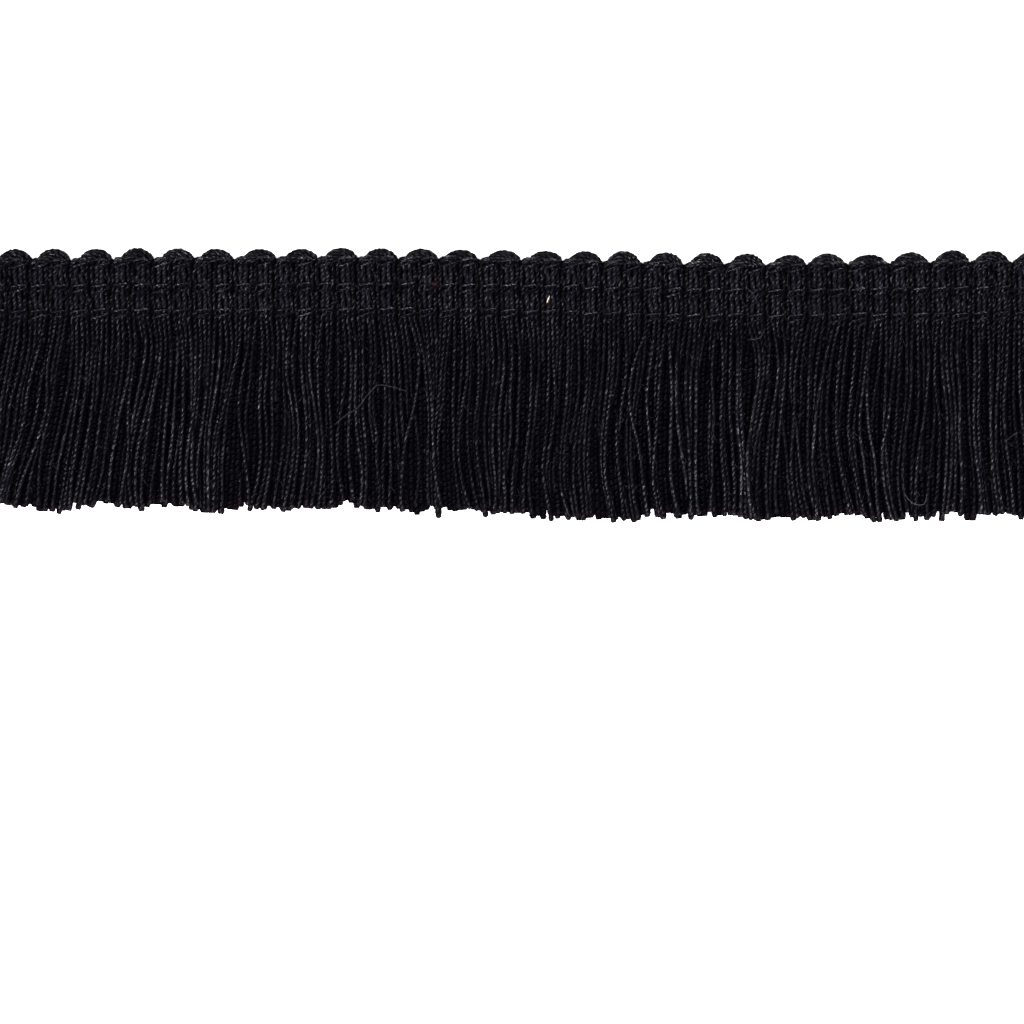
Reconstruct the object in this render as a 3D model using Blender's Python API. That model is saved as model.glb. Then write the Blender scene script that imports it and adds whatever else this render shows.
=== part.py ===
"""Brush fringe trim: a cut length of knitted edging that lies flat on its back.

The pieces, each one object:
  heading            ribs of yarn side by side, looped into scallops along the top edge, with a flat back
  chain_row_top,     three rows of chain stitch that lie in channels across the ribs' face
  chain_row_middle,
  chain_row_bottom
  fringe             the ribs' yarn running on below the heading, cut straight: one comb of leaning locks

X runs along the trim, +Y points at the scallops and +Z out of the face. The origin is on the heading's
flat back, under the middle chain row and half way along. Everything is in metres.
"""

import math
import random

import bmesh
import bpy

MM = 0.001

# Driving dimensions.
SCALLOPS = 27
SCALLOP_PITCH = 3.672 * MM  # two ribs to a scallop
SCALLOP_RISE = 0.78 * MM  # from a valley of the top edge to a peak
SCALLOP_LEAN = 0.42 * MM  # a peak stands this far to the right of the middle of its two ribs
VALLEY_LEAN = 0.26 * MM  # and a valley this far to the right of the groove below it
FLANK_POWER = 1.35  # over 1 gives a broad crown and narrow valleys
VALLEY_Y = 2.74 * MM
CHAIN_PITCH = 2.26 * MM  # from one chain row to the next
HEADING_FOOT_Y = -2.80 * MM
RIB_THICKNESS = 1.40 * MM  # on a rib's crown
GROOVE_DEPTH = 0.45 * MM  # between two ribs
RIM_THICKNESS = 0.55 * MM  # along the heading's rounded outline
SCALLOP_BASE_THICKNESS = 1.26 * MM
CHANNEL_FLOOR = 0.80 * MM  # height of the ribs where a chain row draws them in
CHANNEL_WIDTH = 0.76 * MM
CHANNEL_SLOPE = 0.18 * MM  # how far a channel's side leans out
CHAIN_THREAD = 0.56 * MM  # across a stitch
CHAIN_WAIST = 0.40 * MM  # across the thread between two stitches
CHAIN_HEIGHT = 1.42 * MM  # of the thread's centre
CHAIN_DIP = 0.08 * MM  # the thread sinks this far between two ribs
CLEARANCE = 0.30 * MM
FRINGE_THICKNESS = 1.70 * MM  # at the fullest part of a lock
FRINGE_TIP_THICKNESS = 1.10 * MM
LOCK_SHOULDER = 0.55  # height of a lock's side, as a share of its crown
LOCK_DEPTHS = (0.0, 0.25, 0.5, 0.75, 1.0)  # where a lock has a section, from its root to its cut end
ROOT_BAR_WIDTH = 1.20 * MM
ROOT_BAR_THICKNESS = 1.00 * MM
ROOT_OVERLAP = 0.60 * MM  # how far a lock reaches into the root bar
SLIT_AT_ROOT = 0.10 * MM
SLIT_AT_TIP = 0.22 * MM
TIP_UNEVENNESS = 0.35 * MM
YARN_COLOUR = (0.0120, 0.0112, 0.0160, 1.0)
THREAD_COLOUR = (0.0135, 0.0125, 0.0175, 1.0)

# Worked out from the dimensions above.
RIBS = 2 * SCALLOPS
RIB_PITCH = SCALLOP_PITCH / 2
LENGTH = SCALLOPS * SCALLOP_PITCH
ROOT_TOP_Y = HEADING_FOOT_Y - CLEARANCE
CHAIN_ROWS = (
    ("chain_row_top", CHAIN_PITCH),
    ("chain_row_middle", 0.0),
    ("chain_row_bottom", -CHAIN_PITCH),
)

# A rib's section: share of the pitch, and whether the point is on the crown or in the groove.
RIB_SECTION = ((0.0, 0.0), (0.27, 1.0), (0.73, 1.0))

# The heading isn't quite straight. Columns: station along X, rise of the rows, rise of the top edge, in mm.
HEADING_WAVE = (
    (-50.0, -0.12, -0.04),
    (-42.0, -0.09, 0.00),
    (-30.5, 0.00, 0.12),
    (-10.3, 0.09, 0.10),
    (-1.6, 0.00, 0.02),
    (5.6, -0.12, -0.06),
    (9.9, -0.32, -0.16),
    (17.3, -0.47, -0.28),
    (27.2, -0.50, -0.42),
    (32.9, -0.36, -0.40),
    (38.0, -0.32, -0.24),
    (44.5, -0.27, -0.04),
    (50.0, -0.24, 0.00),
)

# How the fringe lies. Columns: station along X, sideways shift of a lock half way down, shift at its
# cut end, and the cut end's Y, in mm.
FRINGE_LIE = (
    (-50.0, -1.80, -3.20, -19.5),
    (-42.0, -1.78, -3.25, -19.5),
    (-37.7, -1.65, -3.40, -19.6),
    (-33.4, -0.70, -1.90, -19.6),
    (-24.7, -0.50, -1.05, -19.7),
    (-16.1, -0.37, -0.73, -19.7),
    (-11.7, -0.18, -0.18, -19.8),
    (-7.4, 0.64, 0.92, -20.0),
    (-3.1, -0.73, -0.49, -20.1),
    (1.2, -0.18, -0.18, -20.3),
    (9.9, -0.40, -0.25, -20.5),
    (16.3, -1.00, -0.65, -20.5),
    (22.8, -0.46, -0.31, -20.6),
    (27.2, -0.80, -0.37, -20.5),
    (31.5, -0.70, 0.31, -20.4),
    (35.8, -0.49, 0.12, -20.6),
    (40.1, 0.37, -0.31, -20.6),
    (44.5, 0.00, 0.92, -20.5),
    (50.0, 0.00, 0.60, -20.5),
)


def between(table, x, column):
    """The table's column at x, in metres, eased from one station to the next."""
    x_mm = x / MM
    for left, right in zip(table, table[1:]):
        if x_mm <= right[0]:
            share = max(0.0, (x_mm - left[0]) / (right[0] - left[0]))
            eased = share * share * (3 - 2 * share)
            return MM * (left[column] + eased * (right[column] - left[column]))
    return MM * table[-1][column]


def rows_rise(x):
    return between(HEADING_WAVE, x, 1)


def edge_rise(x):
    return between(HEADING_WAVE, x, 2)


def scallop_edge(x):
    """Y of the top edge at x: a raised cosine between valleys, leaning to the right."""
    from_valley = (x + LENGTH / 2 - VALLEY_LEAN) % SCALLOP_PITCH
    left_flank = SCALLOP_PITCH / 2 + SCALLOP_LEAN - VALLEY_LEAN
    if from_valley < left_flank:
        share = 1 - from_valley / left_flank
    else:
        share = (from_valley - left_flank) / (SCALLOP_PITCH - left_flank)
    rise = SCALLOP_RISE * (1 + math.cos(math.pi * share**FLANK_POWER)) / 2
    return VALLEY_Y + rise + edge_rise(x)


def principled(name, colour, roughness):
    material = bpy.data.materials.new(name)
    material.use_nodes = True
    shader = material.node_tree.nodes["Principled BSDF"]
    shader.inputs["Base Color"].default_value = colour
    shader.inputs["Roughness"].default_value = roughness
    shader.inputs["Metallic"].default_value = 0.0
    material.diffuse_color = colour
    return material


def object_from(bm, name, collection, material):
    """The bmesh as a smooth-shaded object in the collection."""
    bmesh.ops.recalc_face_normals(bm, faces=bm.faces)
    mesh = bpy.data.meshes.new(name)
    bm.to_mesh(mesh)
    bm.free()
    mesh.materials.append(material)
    mesh.shade_smooth()
    mesh.set_sharp_from_angle(angle=math.radians(50))
    obj = bpy.data.objects.new(name, mesh)
    collection.objects.link(obj)
    return obj


def loft(bm, rings):
    """Adds a closed body through the rings, which all have the same number of points."""
    made = [[bm.verts.new(point) for point in ring] for ring in rings]
    count = len(made[0])
    for ring, following in zip(made, made[1:]):
        for i in range(count):
            j = (i + 1) % count
            bm.faces.new((ring[i], ring[j], following[j], following[i]))
    bm.faces.new(made[0])
    bm.faces.new(reversed(made[-1]))


def heading_rows():
    """The heading's rows from foot to the scallops' base: Y, and the crown's and the groove's height."""
    groove = RIB_THICKNESS - GROOVE_DEPTH
    pinch = CHANNEL_WIDTH / 2
    shoulder = pinch + CHANNEL_SLOPE
    rows = [(HEADING_FOOT_Y, RIM_THICKNESS, RIM_THICKNESS)]
    for _, y in reversed(CHAIN_ROWS):
        if y > -CHAIN_PITCH:
            rows.append((y - shoulder, RIB_THICKNESS, groove))
        rows.append((y - pinch, CHANNEL_FLOOR, CHANNEL_FLOOR))
        rows.append((y + pinch, CHANNEL_FLOOR, CHANNEL_FLOOR))
        if y < CHAIN_PITCH:
            rows.append((y + shoulder, RIB_THICKNESS, groove))
    return rows


def heading_section(ribs_along, on_crown):
    """The heading's outline across its width, at a place counted in ribs from the left end."""
    x = ribs_along * RIB_PITCH - LENGTH / 2
    edge_y = scallop_edge(x)
    rows = [(y + rows_rise(x), crown_z, groove_z) for y, crown_z, groove_z in heading_rows()]
    foot_y = rows[0][0]
    base_y = (rows[-1][0] + edge_y) / 2
    rows.append((base_y, SCALLOP_BASE_THICKNESS, CHANNEL_FLOOR))
    rows.append((edge_y, RIM_THICKNESS, RIM_THICKNESS))
    face = [(y, groove_z + on_crown * (crown_z - groove_z)) for y, crown_z, groove_z in rows]
    return [(x, y, z) for y, z in [(foot_y, 0.0)] + face + [(edge_y, 0.0)]]


def make_heading(collection, material):
    """Ribs over a flat back, drawn in under each chain row, with a scalloped and rounded top edge."""
    places = [(rib + share, crown) for rib in range(RIBS) for share, crown in RIB_SECTION]
    places.append((float(RIBS), 0.0))
    bm = bmesh.new()
    loft(bm, [heading_section(*place) for place in places])
    return object_from(bm, "heading", collection, material)


def make_chain_row(name, row_y, collection, material):
    """A beaded thread along the row: full across each rib, waisted and a little lower between ribs."""
    curve = bpy.data.curves.new(name, "CURVE")
    curve.dimensions = "3D"
    curve.bevel_depth = CHAIN_THREAD / 2
    curve.bevel_resolution = 0
    curve.use_fill_caps = True
    spline = curve.splines.new("POLY")
    steps = range(1, 2 * RIBS)
    spline.points.add(len(steps) - 1)
    for point, half_rib in zip(spline.points, steps):
        x = half_rib * RIB_PITCH / 2 - LENGTH / 2
        on_rib = half_rib % 2 == 1
        z = CHAIN_HEIGHT if on_rib else CHAIN_HEIGHT - CHAIN_DIP
        point.co = (x, row_y + rows_rise(x), z, 1.0)
        point.radius = 1.0 if on_rib else CHAIN_WAIST / CHAIN_THREAD
    curve.materials.append(material)
    obj = bpy.data.objects.new(name, curve)
    collection.objects.link(obj)
    return obj


def lock_shift(x, depth):
    """Sideways shift at a depth from 0, at the root, to 1, at the cut end, through the table's two."""
    half_way = between(FRINGE_LIE, x, 1)
    tip = between(FRINGE_LIE, x, 2)
    return depth * (4 * half_way - tip) + depth * depth * (2 * tip - 4 * half_way)


def lock_thickness(depth):
    """Fullest just below the root, and thinner towards the cut end."""
    fullness = math.sin(math.pi * (0.35 + 0.5 * depth))
    return FRINGE_TIP_THICKNESS + fullness * (FRINGE_THICKNESS - FRINGE_TIP_THICKNESS)


def make_locks(collection, material):
    """One tapered, leaning lock of yarn for each rib, all in one helper mesh, with a slit between."""
    spread = random.Random(11)
    bm = bmesh.new()
    for rib in range(RIBS):
        left = rib * RIB_PITCH - LENGTH / 2
        right = left + RIB_PITCH
        middle = (left + right) / 2
        uneven = spread.uniform(-1, 1) * TIP_UNEVENNESS
        root_y = ROOT_TOP_Y - ROOT_BAR_WIDTH + ROOT_OVERLAP + rows_rise(middle)
        tip_y = between(FRINGE_LIE, middle, 3) + uneven
        rings = []
        for depth in LOCK_DEPTHS:
            slit = SLIT_AT_ROOT + depth * (SLIT_AT_TIP - SLIT_AT_ROOT)
            x_left = left + lock_shift(left, depth) + slit / 2
            x_right = right + lock_shift(right, depth) - slit / 2
            y = root_y + depth * (tip_y - root_y)
            crown = lock_thickness(depth)
            shoulder = LOCK_SHOULDER * crown
            rings.append(
                [
                    (x_left, y, 0.0),
                    (x_right, y, 0.0),
                    (x_right, y, shoulder),
                    ((x_left + x_right) / 2, y, crown),
                    (x_left, y, shoulder),
                ]
            )
        loft(bm, rings)
    locks = object_from(bm, "fringe_locks", collection, material)
    locks.hide_render = True
    locks.display_type = "WIRE"
    return locks


def make_fringe(collection, helpers, material):
    """The comb: a root bar under the heading's foot, joined with the locks."""
    bm = bmesh.new()
    rings = []
    for scallop in range(SCALLOPS + 1):
        x = scallop * SCALLOP_PITCH - LENGTH / 2
        top = ROOT_TOP_Y + rows_rise(x)
        foot = top - ROOT_BAR_WIDTH
        rings.append(
            [
                (x, top, 0.0),
                (x, foot, 0.0),
                (x, foot, ROOT_BAR_THICKNESS),
                (x, top, ROOT_BAR_THICKNESS),
            ]
        )
    loft(bm, rings)
    fringe = object_from(bm, "fringe", collection, material)
    union = fringe.modifiers.new("join the locks", "BOOLEAN")
    union.operation = "UNION"
    union.solver = "EXACT"
    union.object = make_locks(helpers, material)
    return fringe


def new_collection(name):
    collection = bpy.data.collections.new(name)
    bpy.context.scene.collection.children.link(collection)
    return collection


def main():
    for obj in list(bpy.data.objects):
        bpy.data.objects.remove(obj, do_unlink=True)
    trim = new_collection("brush_fringe_trim")
    helpers = new_collection("helpers")
    yarn = principled("plied_yarn", YARN_COLOUR, 0.88)
    thread = principled("chain_thread", THREAD_COLOUR, 0.8)
    make_heading(trim, yarn)
    for name, row_y in CHAIN_ROWS:
        make_chain_row(name, row_y, trim, thread)
    make_fringe(trim, helpers, yarn)


main()
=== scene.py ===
"""Looks of the brush fringe trim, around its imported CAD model.

The trim is made as a knitting machine makes it. Eight two-ply yarns run up one rib, over in an arch, which
is one scallop, and down the next rib. Both their ends are cut, and are the fringe. Three rows of chain
stitch lock the ribs. Lengths are in millimetres until a mesh is made, in the CAD model's frame: X along
the trim, Y towards the scallops, Z out of the face. The trim lies on z = 0.
"""

import math

import bpy
import numpy as np
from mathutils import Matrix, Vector


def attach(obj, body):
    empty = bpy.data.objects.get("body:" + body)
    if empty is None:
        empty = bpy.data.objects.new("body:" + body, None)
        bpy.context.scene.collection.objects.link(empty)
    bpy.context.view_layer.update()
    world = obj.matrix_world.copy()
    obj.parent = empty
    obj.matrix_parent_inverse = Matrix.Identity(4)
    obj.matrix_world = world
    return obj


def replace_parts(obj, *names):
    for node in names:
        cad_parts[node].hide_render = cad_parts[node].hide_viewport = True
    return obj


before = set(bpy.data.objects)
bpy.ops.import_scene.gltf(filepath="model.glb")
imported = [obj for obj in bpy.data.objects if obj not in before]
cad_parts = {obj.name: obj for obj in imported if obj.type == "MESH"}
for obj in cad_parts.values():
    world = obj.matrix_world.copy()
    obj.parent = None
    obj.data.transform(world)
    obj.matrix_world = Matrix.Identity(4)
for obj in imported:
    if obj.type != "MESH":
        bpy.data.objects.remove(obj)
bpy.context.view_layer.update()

MM = 0.001

# The photograph's frame, as a pixel scale and the point that the camera looks straight down at.
PIXELS = 1024
PIXELS_PER_MM = 11.10
VIEW_X, VIEW_Y, VIEW_Z = 1.24, -20.18, 1.0
LENS_MM, SENSOR_MM = 100.0, 36.0

# The knitting. Its counts and pitches are those of the CAD model.
SCALLOPS = 27
RIBS = 2 * SCALLOPS
SCALLOP_PITCH = 3.672
RIB_PITCH = SCALLOP_PITCH / 2
CHAIN_PITCH = 2.26
ROW_YS = (CHAIN_PITCH, 0.0, -CHAIN_PITCH)
HEADING_YARN_RADIUS = 0.250
FRINGE_YARN_RADIUS = 0.250
BACK_YARN_RADIUS = 0.33
BACK_FRINGE_RADIUS = 0.36  # its plies open below the heading, and close the fringe
TWIST_LEAD = 1.03  # one turn of the two plies
BACK_TWIST_LEAD = 1.55
THREAD_RADIUS = 0.155
THREAD_LEAD = 0.62

# The heading isn't quite straight. Columns: station along X, rise of the rows, rise of the top edge.
HEADING_WAVE = (
    (-50.0, -0.12, -0.04),
    (-42.0, -0.09, 0.00),
    (-30.5, 0.00, 0.12),
    (-10.3, 0.09, 0.10),
    (-1.6, 0.00, 0.02),
    (5.6, -0.12, -0.06),
    (9.9, -0.32, -0.16),
    (17.3, -0.47, -0.28),
    (27.2, -0.50, -0.42),
    (32.9, -0.36, -0.40),
    (38.0, -0.32, -0.24),
    (44.5, -0.27, -0.04),
    (50.0, -0.24, 0.00),
)

# The ribs drift a little along the trim, and the scallops don't. Columns: station along X, drift.
RIB_DRIFT = ((-50.0, -0.18), (-20.0, -0.04), (0.0, 0.08), (26.0, 0.18), (36.0, 0.36), (50.0, 0.40))

# How the fringe lies. Columns: station along X, shift half way down, shift at the cut end, the cut end's Y.
FRINGE_LIE = (
    (-50.0, -1.80, -3.20, -19.5),
    (-42.0, -1.78, -3.25, -19.5),
    (-37.7, -1.65, -3.40, -19.6),
    (-33.4, -0.70, -1.90, -19.6),
    (-24.7, -0.50, -1.05, -19.7),
    (-16.1, -0.37, -0.73, -19.7),
    (-11.7, -0.18, -0.18, -19.8),
    (-7.4, 0.64, 0.92, -20.0),
    (-3.1, -0.73, -0.49, -20.1),
    (1.2, -0.18, -0.18, -20.3),
    (9.9, -0.40, -0.25, -20.5),
    (16.3, -1.00, -0.65, -20.5),
    (22.8, -0.46, -0.31, -20.6),
    (27.2, -0.80, -0.37, -20.5),
    (31.5, -0.70, 0.31, -20.4),
    (35.8, -0.49, 0.12, -20.6),
    (40.1, 0.37, -0.31, -20.6),
    (44.5, 0.00, 0.92, -20.5),
    (50.0, 0.00, 0.60, -20.5),
)

# The eight yarns of a rib, from the groove under the scallop's middle outwards. Columns: offset from the
# rib's middle, height of the centre line on the rib's crown, and under a chain row, and in the arch.
STRANDS = (
    (-0.67, 1.07, 0.84, 0.98),
    (-0.22, 1.17, 0.90, 1.02),
    (0.22, 1.17, 0.90, 0.95),
    (0.67, 1.07, 0.84, 0.80),
    (-0.71, 0.44, 0.42, 0.46),
    (-0.235, 0.44, 0.42, 0.45),
    (0.235, 0.44, 0.42, 0.43),
    (0.71, 0.44, 0.42, 0.38),
)
FRONT_STRANDS = 4  # the first four lie at the face, and the others behind them
FRONT_PINCH, FRONT_BULGE = 0.94, 1.09  # a rib's width under a chain row, and between two rows
BACK_PINCH, BACK_BULGE = 1.0, 1.0  # the back yarns of neighbouring ribs lie side by side

rng = np.random.default_rng(20)


def eased(share):
    """The share, from 0 to 1, with a slow start and end."""
    return share * share * (3 - 2 * share)


def column(table, x, index):
    """The table's column at x, eased from one station to the next."""
    table = np.array(table)
    stations, values = table[:, 0], table[:, index]
    i = np.clip(np.searchsorted(stations, x) - 1, 0, len(stations) - 2)
    share = np.clip((x - stations[i]) / (stations[i + 1] - stations[i]), 0, 1)
    return values[i] + eased(share) * (values[i + 1] - values[i])


def rows_rise(x):
    return column(HEADING_WAVE, x, 1)


def edge_rise(x):
    return column(HEADING_WAVE, x, 2)


def drift(x):
    return column(RIB_DRIFT, x, 1)


def rib_middle(rib):
    """X of a rib's middle, before it drifts."""
    return (rib - SCALLOPS + 0.5) * RIB_PITCH


def lock_shift(x, depth):
    """Sideways shift of the fringe at a depth from 0, at its root, to 1, at its cut end."""
    half_way, tip = column(FRINGE_LIE, x, 1), column(FRINGE_LIE, x, 2)
    return depth * (4 * half_way - tip) + depth * depth * (2 * tip - 4 * half_way)


# ---------------------------------------------------------------- meshes


CURVE_STEPS = 8  # points on a smooth curve for each point that it goes through
STRIP_SHARE = 0.88  # how much of the width of its strip of the UV map a tube takes
CAP_SHARE = 0.01  # how much of a strip's height each end cap takes
PLY_REACH = 1.06  # how far out a ply reaches, as a share of the yarn's radius

# Outlines that are swept along paths, as shares of the radius. All are shaded smooth.
PLY_SECTION = ((1.0, 0.0), (0.0, 1.0), (-1.0, 0.0), (0.0, -1.0))
BACK_SECTION = ((1.00, 0.00), (0.55, 0.80), (-0.55, 0.80), (-1.00, 0.00), (-0.55, -0.80), (0.55, -0.80))
HAIR_SECTION = ((1.0, 0.0), (-0.5, 0.87), (-0.5, -0.87))
STRAW_SECTION = ((1.0, 0.0), (0.0, 0.45), (-1.0, 0.0), (0.0, -0.45))


def frames_along(paths):
    """Two normals that don't twist, at each point of each path of (paths, points, 3)."""
    tangents = np.gradient(paths, axis=1)
    tangents /= np.linalg.norm(tangents, axis=2, keepdims=True)
    side = np.cross(tangents[:, 0], (0.0, 0.0, 1.0))
    side /= np.maximum(np.linalg.norm(side, axis=1, keepdims=True), 1e-9)
    sides = np.empty_like(paths)
    for i in range(paths.shape[1]):
        side = side - (side * tangents[:, i]).sum(1, keepdims=True) * tangents[:, i]
        side /= np.linalg.norm(side, axis=1, keepdims=True)
        sides[:, i] = side
    return sides, np.cross(tangents, sides)


def catmull_rom(points, steps):
    """A smooth curve through the points, with this many points for each of them."""
    points = np.asarray(points, float)
    padded = np.concatenate([[2 * points[0] - points[1]], points, [2 * points[-1] - points[-2]]])
    p0, p1, p2, p3 = (p[:, None, :] for p in (padded[:-3], padded[1:-2], padded[2:-1], padded[3:]))
    t = (np.arange(steps) / steps)[None, :, None]
    curve = 0.5 * (
        2 * p1
        + (p2 - p0) * t
        + (2 * p0 - 5 * p1 + 4 * p2 - p3) * t**2
        + (3 * p1 - p0 - 3 * p2 + p3) * t**3
    )
    return np.concatenate([curve.reshape(-1, 3), points[-1:]])


def step_lengths(line):
    return np.linalg.norm(np.diff(line, axis=0), axis=1)


def resampled(points, count):
    """This many points, evenly spaced along a smooth curve through the given ones, and its length."""
    fine = catmull_rom(points, CURVE_STEPS)
    run = np.concatenate([[0.0], np.cumsum(step_lengths(fine))])
    wanted = np.linspace(0.0, run[-1], count)
    return np.stack([np.interp(wanted, run, fine[:, axis]) for axis in range(3)], axis=1), run[-1]


def rings_along(paths, radii, angles, section):
    """The section's points round each point of each path, turned by the angles."""
    side, up = frames_along(paths)
    turn_cos, turn_sin = np.cos(angles)[..., None], np.sin(angles)[..., None]
    across = turn_cos * section[:, 0] - turn_sin * section[:, 1]
    above = turn_sin * section[:, 0] + turn_cos * section[:, 1]
    outwards = across[..., None] * side[:, :, None, :] + above[..., None] * up[:, :, None, :]
    return paths[:, :, None, :] + radii[:, :, None, None] * outwards


def strip_uvs(tube, corners, count, sides):
    """UVs of the faces' corners, each given as how many sides round its tube it is, and its height."""
    uvs = []
    for around, height in corners:
        u = (tube + (1 - STRIP_SHARE) / 2 + STRIP_SHARE * around / sides) / count
        uvs.append(np.stack([u, np.broadcast_to(height, u.shape)], axis=-1))
    return np.stack(uvs, axis=-2).reshape(-1, 2)


def tube_walls(count, length, sides):
    """Faces between each ring of points and the next one, and the UVs of their corners."""
    tube, along, around = np.indices((count, length - 1, sides))
    following = (around + 1) % sides
    ring = (tube * length + along) * sides
    next_ring = ring + sides
    faces = np.stack([ring + around, ring + following, next_ring + following, next_ring + around], axis=-1)
    low = CAP_SHARE + (1 - 2 * CAP_SHARE) * along / (length - 1)
    high = CAP_SHARE + (1 - 2 * CAP_SHARE) * (along + 1) / (length - 1)
    corners = ((around, low), (around + 1, low), (around + 1, high), (around, high))
    return faces.reshape(-1, 4), strip_uvs(tube, corners, count, sides)


def tube_caps(count, length, sides):
    """Faces from the middle of each end to its ring, and their UVs: first the starts, then the ends."""
    tube, around = np.indices((count, sides))
    following = (around + 1) % sides
    first, last = tube * length * sides, (tube * length + length - 1) * sides
    middle = count * length * sides + tube
    starts = np.stack([middle, first + following, first + around], axis=-1)
    ends = np.stack([middle + count, last + around, last + following], axis=-1)
    low, high = CAP_SHARE, 1 - CAP_SHARE
    start_uvs = strip_uvs(tube, ((around + 0.5, 0), (around + 1, low), (around, low)), count, sides)
    end_uvs = strip_uvs(tube, ((around + 0.5, 1), (around, high), (around + 1, high)), count, sides)
    return (starts.reshape(-1, 3), start_uvs), (ends.reshape(-1, 3), end_uvs)


def tubes(name, paths, radii, angles, section, material, exposure=1.0, tip=0.0):
    """One mesh of tubes: the section, in shares of the radius, swept along each path as it turns.

    Each tube has its own upright strip of the UV map, so the map never overlaps and isn't stretched.
    exposure and tip are given for each point of each path, and the material reads them from the mesh.
    """
    count, length, _ = paths.shape
    sides = len(section)
    rings = rings_along(paths, radii, angles, np.array(section)).reshape(-1, 3)
    points = np.concatenate([rings, paths[:, 0], paths[:, -1]]) * MM
    groups = (tube_walls(count, length, sides), *tube_caps(count, length, sides))
    uvs = np.concatenate([group_uvs for _, group_uvs in groups])
    made = mesh_object(name, points, [faces for faces, _ in groups], uvs, material)
    for key, value in (("exposure", exposure), ("tip", tip)):
        value = np.broadcast_to(value, (count, length))
        values = np.concatenate([np.repeat(value, sides), value[:, 0], value[:, -1]])
        layer = made.data.attributes.new(key, "FLOAT", "POINT")
        layer.data.foreach_set("value", values.astype(np.float32))
    return made


def plied(paths, radii, turn, arm):
    """Two plies wound round each other along each path, as their own paths and radii.

    arm is a ply's distance from the yarn's centre line, as a share of the yarn's radius.
    """
    side, up = frames_along(paths)
    apart = (arm * radii)[..., None] * (np.cos(turn)[..., None] * side + np.sin(turn)[..., None] * up)
    ply_radii = (PLY_REACH - arm) * radii
    return np.concatenate([paths + apart, paths - apart]), np.concatenate([ply_radii, ply_radii])


def mesh_object(name, points, face_groups, uvs, material):
    """A piece of the trim. All faces of a group have the same number of corners."""
    mesh = bpy.data.meshes.new(name)
    mesh.vertices.add(len(points))
    mesh.vertices.foreach_set("co", np.ascontiguousarray(points, np.float32).ravel())
    corners = np.concatenate([faces.ravel() for faces in face_groups]).astype(np.int32)
    sizes = np.concatenate([np.full(len(faces), faces.shape[1], np.int32) for faces in face_groups])
    starts = np.concatenate([[0], np.cumsum(sizes)[:-1]])
    mesh.loops.add(len(corners))
    mesh.loops.foreach_set("vertex_index", corners)
    mesh.polygons.add(len(sizes))
    mesh.polygons.foreach_set("loop_start", starts.astype(np.int32))
    mesh.update(calc_edges=True)
    layer = mesh.uv_layers.new(name="OFBake")
    layer.data.foreach_set("uv", np.ascontiguousarray(uvs, np.float32).ravel())
    mesh.shade_smooth()
    mesh.materials.append(material)
    mesh.validate()
    obj = bpy.data.objects.new(name, mesh)
    bpy.context.scene.collection.objects.link(obj)
    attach(obj, "root")
    return obj


# ---------------------------------------------------------------- materials


# Exposure goes from 0, where other yarns cover a yarn, over 1, where it lies on top, to this, on the
# heading's face.
# Lower exposure darkens the base colour: where yarns are covered or lie low, under the chain stitches,
# beside the grooves, on the arches and at the fringe's root, that darkening is painted shade. Over 1 the
# heading's base colour is lightened as painted light.
HEADING_LIT = 1.25
TIP_BROWN = (0.0022, 0.0008, 0.0009)  # added where a cut end has faded
HEADING_LIGHT = (0.0020, 0.0019, 0.0025)  # painted light, added to the base colour on the heading's face
SPECULAR = 0.02
BUMP_MM = 0.08
PLY_BUMP = 0.8  # height of a painted ply's crown, where the fibres' noise has a height of 1

# Noises in a yarn: how many blotches across it, how many to a millimetre along it, and how much detail.
FIBRE_NOISE = (4.0, 1.4, 2.0)
SLUB_NOISE = (0.8, 0.3, 1.0)
GRAIN_NOISE = (2.5, 5.0, 1.0)

# How the noises, the exposure and the painted plies set the looks: from low, from high, to low, to high.
SHADE_BY_FIBRE = (0.3, 0.7, 0.7, 1.3)
# Low exposure darkens the base colour as painted shade.
SHADE_BY_EXPOSURE = (0.0, 1.0, 0.7, 1.0)
HEADING_LIGHT_BY_EXPOSURE = (1.0, HEADING_LIT, 0.0, 1.0)
HEADING_LIGHT_BY_FIBRE = (0.3, 0.7, 0.4, 1.6)
ROUGHNESS_BY_FIBRE = (0.3, 0.7, 0.75, 0.50)
SHINE_BY_SLUB = (0.35, 0.65, 0.40, 1.60)
SHINE_WHERE_HEADING_LIT = (1.0, HEADING_LIT, 1.0, 0.66)
SHINE_BY_GRAIN = (0.3, 0.7, 0.35, 1.65)
SHINE_BY_FIBRE = (0.35, 0.65, 0.55, 1.45)
SHINE_BY_PLY = (-1.0, 1.0, 0.4, 1.8)


def node(tree, kind, inputs=(), **settings):
    """A new shader node. Each input is a number or colour, or the socket to link it from."""
    made = tree.nodes.new(kind)
    for key, value in settings.items():
        setattr(made, key, value)
    for key, value in dict(inputs).items():
        if isinstance(value, bpy.types.NodeSocket):
            tree.links.new(value, made.inputs[key])
        else:
            made.inputs[key].default_value = value
    return made


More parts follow.
